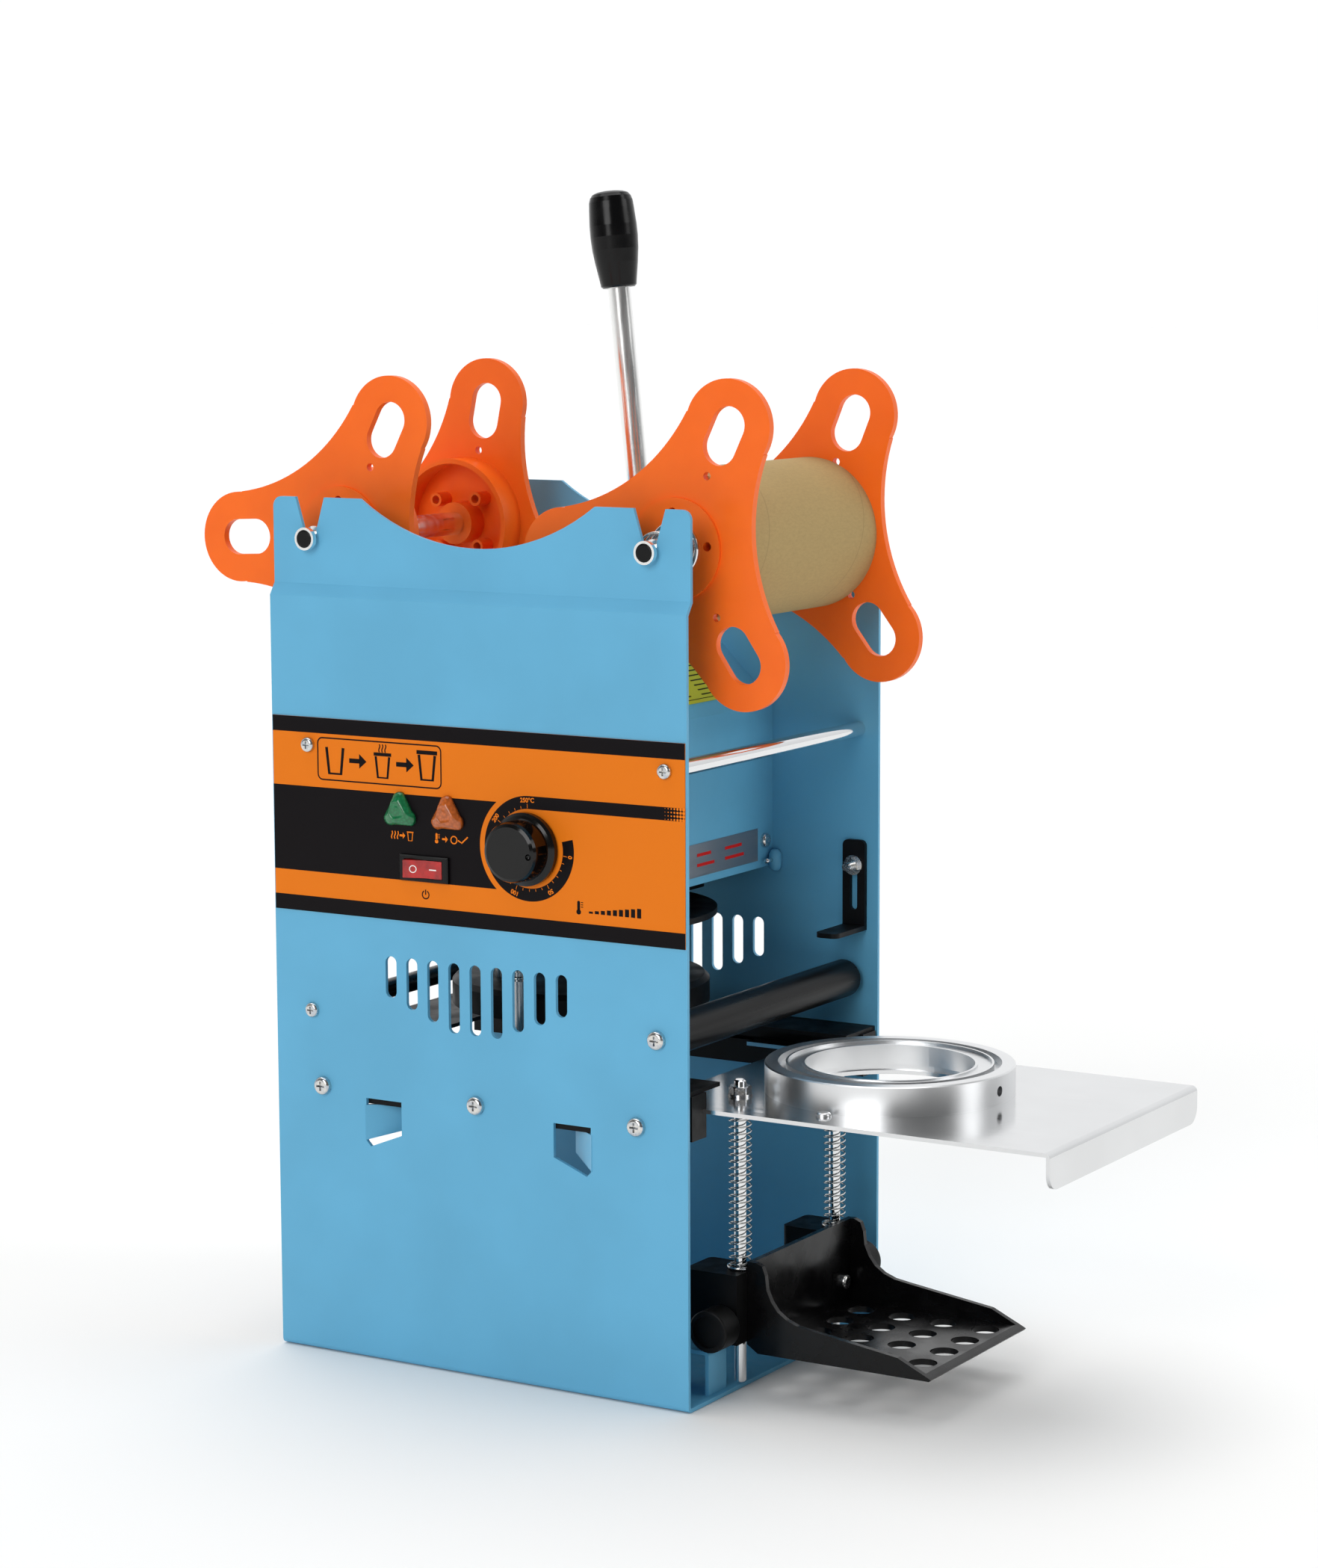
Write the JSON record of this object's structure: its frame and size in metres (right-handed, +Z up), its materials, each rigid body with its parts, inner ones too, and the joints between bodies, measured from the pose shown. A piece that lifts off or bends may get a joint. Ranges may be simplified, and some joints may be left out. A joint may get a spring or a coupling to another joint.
{
  "type": "cup sealing machine",
  "caption": "Hand-lever cup sealer: upright sheet-metal body, film reels on top, heated press head, control panel, and a sliding die drawer with a height-adjustable cup tray.",
  "frame": {"origin": "centre of the chassis underside, on the surface that the machine stands on", "axes": "+Z up; -Y is the front, where the drawer comes out; the control panel is on the -X side plate and the lever outside the +X side plate"},
  "size_m": [0.2412, 0.4919, 0.5882],
  "materials": {
    "blue_paint": "satin",
    "black_paint": "satin",
    "black_steel": "black oxide, satin",
    "bright_steel": "brushed",
    "zinc_steel": "bright zinc",
    "chrome": "polished",
    "aluminium": "turned, satin",
    "white_plastic": "gloss",
    "panel_film": "printed film, gloss",
    "label_film": "printed film",
    "sticker_film": "printed film",
    "black_plastic": "fine matt",
    "black_gloss": "gloss",
    "green_lens": "clear gloss",
    "amber_lens": "clear gloss",
    "red_plastic": "gloss",
    "orange_plastic": "satin",
    "cardboard": "paper tube",
    "bronze": "sintered"
  },
  "bodies": {
    "machine": {"chassis": "blue_paint", "slide_bed": "black_paint", "drawer_rails": "black_plastic", "hood": "blue_paint", "hood_label": "label_film", "hood_sticker": "sticker_film", "hood_screws": "zinc_steel", "panel_overlay": "panel_film", "lamp_green": "green_lens", "lamp_amber": "amber_lens", "thermostat": "black_plastic", "switch_body": "black_plastic", "film_rods": "chrome", "rear_bar": "black_steel", "guide_spindle": "black_steel", "plate_screws": "zinc_steel", "rod_screws": "zinc_steel", "stop_arm": "black_paint", "stop_bolt": "zinc_steel", "foot_bracket": "blue_paint", "cable_gland": "black_plastic", "guide_columns": "bright_steel", "bridge": "black_paint", "lever_bushes": "bronze", "return_springs": "bright_steel"},
    "lever": {"lever_shaft": "bright_steel", "pinion": "bright_steel", "lever_arm": "chrome", "lever_grip": "black_plastic"},
    "head": {"ram": "bright_steel", "crosshead": "black_paint", "shield_plate": "black_paint", "head_posts": "bright_steel", "seal_housing": "black_paint", "heater_plate": "aluminium", "knife_ring": "bright_steel"},
    "drawer": {"drawer_plate": "bright_steel", "die_ring": "aluminium", "die_insert": "aluminium", "drawer_rivets": "aluminium", "guide_rods": "zinc_steel", "rod_nuts": "zinc_steel", "rod_springs": "zinc_steel"},
    "cup_tray": {"tray": "black_plastic", "tray_blocks": "black_plastic", "tray_screws": "zinc_steel"},
    "clamp_near": {"clamp_knob_near": "black_plastic"},
    "clamp_far": {"clamp_knob_far": "black_plastic"},
    "supply_reel": {"front_flanges": "orange_plastic", "front_shaft": "chrome", "front_plugs": "black_plastic", "front_core": "cardboard", "front_cups": "chrome", "front_reel_spring": "bright_steel"},
    "takeup_reel": {"rear_flanges": "orange_plastic", "rear_shaft": "chrome", "rear_plugs": "black_plastic"},
    "guide_roller": {"guide_roller": "black_plastic"},
    "temperature_knob": {"temp_knob": "black_gloss"},
    "power_switch": {"power_rocker": "red_plastic"}
  },
  "joints": [
    {"name": "drawer_slide", "type": "slide", "parent": "machine", "child": "drawer", "axis": [0, 1, 0], "range_m": [0, 0.179]},
    {"name": "tray_height", "type": "slide", "parent": "drawer", "child": "cup_tray", "axis": [0, 0, 1], "range_m": [0, 0.06], "deforming": ["rod_springs"]},
    {"name": "clamp_near_turn", "type": "hinge", "parent": "cup_tray", "child": "clamp_near", "pos_m": [-0.073, -0.122, 0.0364], "axis": [1, 0, 0], "range_deg": [-180, 0]},
    {"name": "clamp_far_turn", "type": "hinge", "parent": "cup_tray", "child": "clamp_far", "pos_m": [0.073, -0.122, 0.0364], "axis": [1, 0, 0], "range_deg": [0, 180]},
    {"name": "lever_swing", "type": "hinge", "parent": "machine", "child": "lever", "pos_m": [0.117, 0.02, 0.3], "axis": [1, 0, 0], "range_deg": [0, 72.5]},
    {"name": "head_press", "type": "slide", "parent": "machine", "child": "head", "axis": [0, 0, -1], "range_m": [0, 0.0133], "stiffness_N_per_m": 4000, "springref_m": -0.012, "deforming": ["return_springs"]},
    {"name": "supply_spin", "type": "hinge", "parent": "machine", "child": "supply_reel", "pos_m": [0, -0.099, 0.4145], "axis": [1, 0, 0], "continuous": true},
    {"name": "takeup_spin", "type": "hinge", "parent": "machine", "child": "takeup_reel", "pos_m": [0, 0.099, 0.4145], "axis": [1, 0, 0], "continuous": true},
    {"name": "guide_roller_spin", "type": "hinge", "parent": "machine", "child": "guide_roller", "pos_m": [0, -0.1046, 0.1817], "axis": [1, 0, 0], "continuous": true},
    {"name": "temperature_turn", "type": "hinge", "parent": "machine", "child": "temperature_knob", "pos_m": [-0.104, -0.0317, 0.2688], "axis": [1, 0, 0], "range_deg": [0, 262]},
    {"name": "power_rock", "type": "hinge", "parent": "machine", "child": "power_switch", "pos_m": [-0.097, 0.0286, 0.2542], "axis": [0, 0, 1], "range_deg": [-18, 0]}
  ],
  "couplings": [
    {"joint": "head_press", "follows": "lever_swing", "m_per_rad": 0.0105}
  ]
}
